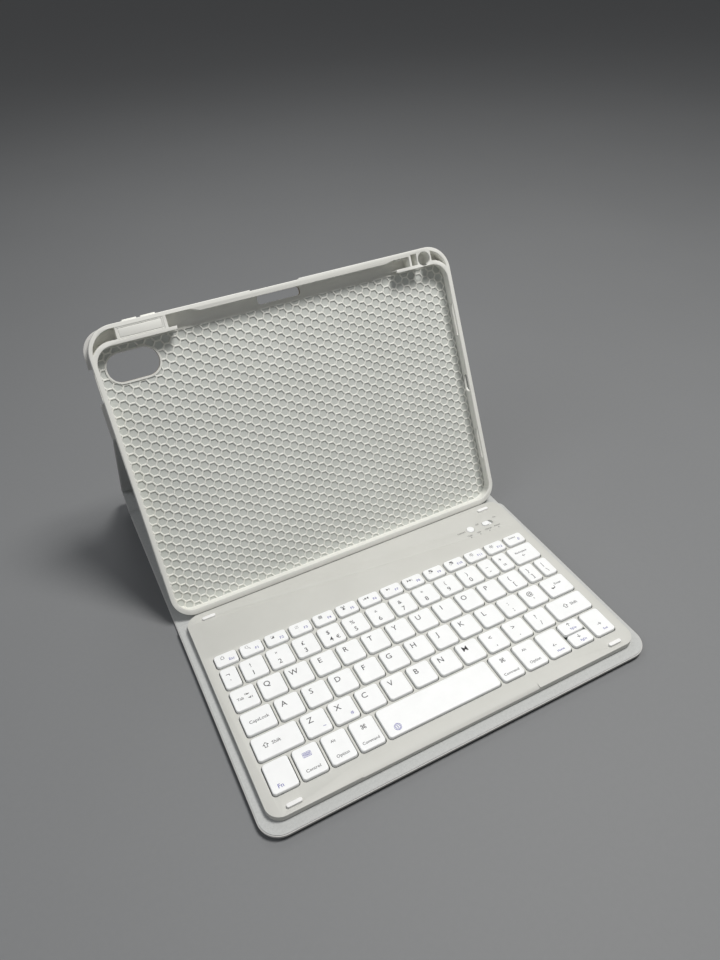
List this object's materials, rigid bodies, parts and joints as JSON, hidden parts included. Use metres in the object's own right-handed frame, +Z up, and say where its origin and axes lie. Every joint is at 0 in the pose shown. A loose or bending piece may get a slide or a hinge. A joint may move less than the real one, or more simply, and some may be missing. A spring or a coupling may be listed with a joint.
{
  "type": "tablet keyboard case",
  "caption": "Folio case for a tablet with a leaning tray, folding stand panels and a slim full keyboard on a suede backing board.",
  "frame": {"origin": "centre of the front cover's underside, on the table", "axes": "+X along the keyboard to its right end, +Y to the rear, +Z up"},
  "size_m": [0.257, 0.3059, 0.1809],
  "materials": {
    "suede": "soft suede nap",
    "leatherette": "fine grained, matt",
    "board": "pressed fibre board",
    "tray": "soft silky moulding",
    "case": "fine satin texture",
    "key": "satin",
    "magnet": "plain",
    "rubber": "matt",
    "dark_rubber": "matt",
    "steel": "plain",
    "film": "thin film",
    "dome": "matt",
    "circuit": "solder mask",
    "cell": "foil pouch",
    "light": "clear light pipe"
  },
  "bodies": {
    "cover": {"cover_skin": "leatherette", "cover_board": "board", "cover_liner": "suede", "cover_magnets": "magnet"},
    "spine": {"spine_skin": "leatherette", "spine_board": "board", "spine_liner": "suede"},
    "stand": {"stand_skin": "leatherette", "stand_board": "board", "stand_liner": "suede"},
    "tray": {"tray_shell": "tray", "back_skin": "leatherette", "back_board": "board", "volume_bridge": "tray", "tray_magnets": "magnet"},
    "volume_up": {"volume_up_button": "tray"},
    "volume_down": {"volume_down_button": "tray"},
    "keyboard": {"keyboard_board": "leatherette", "keyboard_liner": "suede", "board_feet": "dark_rubber", "bottom_case": "case", "top_case": "case", "key_plate": "steel", "membrane": "film", "dome_sheet": "dome", "scissor_frames": "dome", "circuit_board": "circuit", "battery": "cell", "charge_port": "steel", "status_lights": "light", "rubber_pads": "rubber", "case_screws": "steel", "hold_discs": "steel"},
    "connect": {"connect_button": "key"},
    "power": {"power_switch": "key"},
    "esc_key": {"esc_key": "key"},
    "function_keys": {"function_keys": "key"},
    "delete_key": {"delete_key": "key"},
    "number_keys": {"number_keys": "key"},
    "backspace_key": {"backspace_key": "key"},
    "tab_key": {"tab_key": "key"},
    "top_letter_keys": {"top_letter_keys": "key"},
    "caps_key": {"caps_key": "key"},
    "home_letter_keys": {"home_letter_keys": "key"},
    "enter_key": {"enter_key": "key"},
    "left_shift_key": {"left_shift_key": "key"},
    "low_letter_keys": {"low_letter_keys": "key"},
    "right_shift_key": {"right_shift_key": "key"},
    "fn_key": {"fn_key": "key"},
    "control_key": {"control_key": "key"},
    "left_option_key": {"left_option_key": "key"},
    "left_command_key": {"left_command_key": "key"},
    "space_key": {"space_key": "key"},
    "right_command_key": {"right_command_key": "key"},
    "right_option_key": {"right_option_key": "key"},
    "left_key": {"left_key": "key"},
    "up_key": {"up_key": "key"},
    "down_key": {"down_key": "key"},
    "right_key": {"right_key": "key"}
  },
  "joints": [
    {"name": "stand_fold", "type": "hinge", "parent": "spine", "child": "stand", "pos_m": [0, 0.11164, 0.01524], "axis": [1, 0, 0], "range_deg": [-83.92, 0]},
    {"name": "spine_fold", "type": "hinge", "parent": "cover", "child": "spine", "pos_m": [0, 0.0975, 0.0011], "axis": [1, 0, 0], "range_deg": [-45.01, 0]},
    {"name": "tray_fold", "type": "hinge", "parent": "stand", "child": "tray", "pos_m": [0, 0.0329, 0.11274], "axis": [1, 0, 0], "range_deg": [0, 64.53]},
    {"name": "keyboard_slide", "type": "slide", "parent": "cover", "child": "keyboard", "axis": [0, 1, 0], "range_m": [-0.04, 0]},
    {"name": "connect_press", "type": "slide", "parent": "keyboard", "child": "connect", "axis": [0, 0, -1], "range_m": [0, 0.0004], "stiffness_N_per_m": 1500, "springref_m": -0.0003},
    {"name": "power_slide", "type": "slide", "parent": "keyboard", "child": "power", "axis": [1, 0, 0], "range_m": [0, 0.0024]},
    {"name": "volume_up_press", "type": "slide", "parent": "tray", "child": "volume_up", "axis": [0, -0.4321, -0.9018], "range_m": [0, 0.0008], "stiffness_N_per_m": 1200, "springref_m": -0.0003},
    {"name": "volume_down_press", "type": "slide", "parent": "tray", "child": "volume_down", "axis": [0, -0.4321, -0.9018], "range_m": [0, 0.0008], "stiffness_N_per_m": 1200, "springref_m": -0.0003},
    {"name": "esc_key_press", "type": "slide", "parent": "keyboard", "child": "esc_key", "axis": [0, 0, -1], "range_m": [0, 0.0012], "stiffness_N_per_m": 500, "springref_m": -0.0004},
    {"name": "function_keys_press", "type": "slide", "parent": "keyboard", "child": "function_keys", "axis": [0, 0, -1], "range_m": [0, 0.0012], "stiffness_N_per_m": 6000, "springref_m": -0.0004},
    {"name": "delete_key_press", "type": "slide", "parent": "keyboard", "child": "delete_key", "axis": [0, 0, -1], "range_m": [0, 0.0012], "stiffness_N_per_m": 500, "springref_m": -0.0004},
    {"name": "number_keys_press", "type": "slide", "parent": "keyboard", "child": "number_keys", "axis": [0, 0, -1], "range_m": [0, 0.0012], "stiffness_N_per_m": 6500, "springref_m": -0.0004},
    {"name": "backspace_key_press", "type": "slide", "parent": "keyboard", "child": "backspace_key", "axis": [0, 0, -1], "range_m": [0, 0.0012], "stiffness_N_per_m": 500, "springref_m": -0.0004},
    {"name": "tab_key_press", "type": "slide", "parent": "keyboard", "child": "tab_key", "axis": [0, 0, -1], "range_m": [0, 0.0012], "stiffness_N_per_m": 500, "springref_m": -0.0004},
    {"name": "top_letter_keys_press", "type": "slide", "parent": "keyboard", "child": "top_letter_keys", "axis": [0, 0, -1], "range_m": [0, 0.0012], "stiffness_N_per_m": 6500, "springref_m": -0.0004},
    {"name": "caps_key_press", "type": "slide", "parent": "keyboard", "child": "caps_key", "axis": [0, 0, -1], "range_m": [0, 0.0012], "stiffness_N_per_m": 500, "springref_m": -0.0004},
    {"name": "home_letter_keys_press", "type": "slide", "parent": "keyboard", "child": "home_letter_keys", "axis": [0, 0, -1], "range_m": [0, 0.0012], "stiffness_N_per_m": 5500, "springref_m": -0.0004},
    {"name": "enter_key_press", "type": "slide", "parent": "keyboard", "child": "enter_key", "axis": [0, 0, -1], "range_m": [0, 0.0012], "stiffness_N_per_m": 500, "springref_m": -0.0004},
    {"name": "left_shift_key_press", "type": "slide", "parent": "keyboard", "child": "left_shift_key", "axis": [0, 0, -1], "range_m": [0, 0.0012], "stiffness_N_per_m": 500, "springref_m": -0.0004},
    {"name": "low_letter_keys_press", "type": "slide", "parent": "keyboard", "child": "low_letter_keys", "axis": [0, 0, -1], "range_m": [0, 0.0012], "stiffness_N_per_m": 5000, "springref_m": -0.0004},
    {"name": "right_shift_key_press", "type": "slide", "parent": "keyboard", "child": "right_shift_key", "axis": [0, 0, -1], "range_m": [0, 0.0012], "stiffness_N_per_m": 500, "springref_m": -0.0004},
    {"name": "fn_key_press", "type": "slide", "parent": "keyboard", "child": "fn_key", "axis": [0, 0, -1], "range_m": [0, 0.0012], "stiffness_N_per_m": 500, "springref_m": -0.0004},
    {"name": "control_key_press", "type": "slide", "parent": "keyboard", "child": "control_key", "axis": [0, 0, -1], "range_m": [0, 0.0012], "stiffness_N_per_m": 500, "springref_m": -0.0004},
    {"name": "left_option_key_press", "type": "slide", "parent": "keyboard", "child": "left_option_key", "axis": [0, 0, -1], "range_m": [0, 0.0012], "stiffness_N_per_m": 500, "springref_m": -0.0004},
    {"name": "left_command_key_press", "type": "slide", "parent": "keyboard", "child": "left_command_key", "axis": [0, 0, -1], "range_m": [0, 0.0012], "stiffness_N_per_m": 500, "springref_m": -0.0004},
    {"name": "space_key_press", "type": "slide", "parent": "keyboard", "child": "space_key", "axis": [0, 0, -1], "range_m": [0, 0.0012], "stiffness_N_per_m": 500, "springref_m": -0.0004},
    {"name": "right_command_key_press", "type": "slide", "parent": "keyboard", "child": "right_command_key", "axis": [0, 0, -1], "range_m": [0, 0.0012], "stiffness_N_per_m": 500, "springref_m": -0.0004},
    {"name": "right_option_key_press", "type": "slide", "parent": "keyboard", "child": "right_option_key", "axis": [0, 0, -1], "range_m": [0, 0.0012], "stiffness_N_per_m": 500, "springref_m": -0.0004},
    {"name": "left_key_press", "type": "slide", "parent": "keyboard", "child": "left_key", "axis": [0, 0, -1], "range_m": [0, 0.0012], "stiffness_N_per_m": 500, "springref_m": -0.0004},
    {"name": "up_key_press", "type": "slide", "parent": "keyboard", "child": "up_key", "axis": [0, 0, -1], "range_m": [0, 0.0012], "stiffness_N_per_m": 500, "springref_m": -0.0004},
    {"name": "down_key_press", "type": "slide", "parent": "keyboard", "child": "down_key", "axis": [0, 0, -1], "range_m": [0, 0.0012], "stiffness_N_per_m": 500, "springref_m": -0.0004},
    {"name": "right_key_press", "type": "slide", "parent": "keyboard", "child": "right_key", "axis": [0, 0, -1], "range_m": [0, 0.0012], "stiffness_N_per_m": 500, "springref_m": -0.0004}
  ],
  "couplings": [
    {"joint": "spine_fold", "follows": "stand_fold", "ratio": 0.5362},
    {"joint": "tray_fold", "follows": "stand_fold", "ratio": -0.76884}
  ]
}
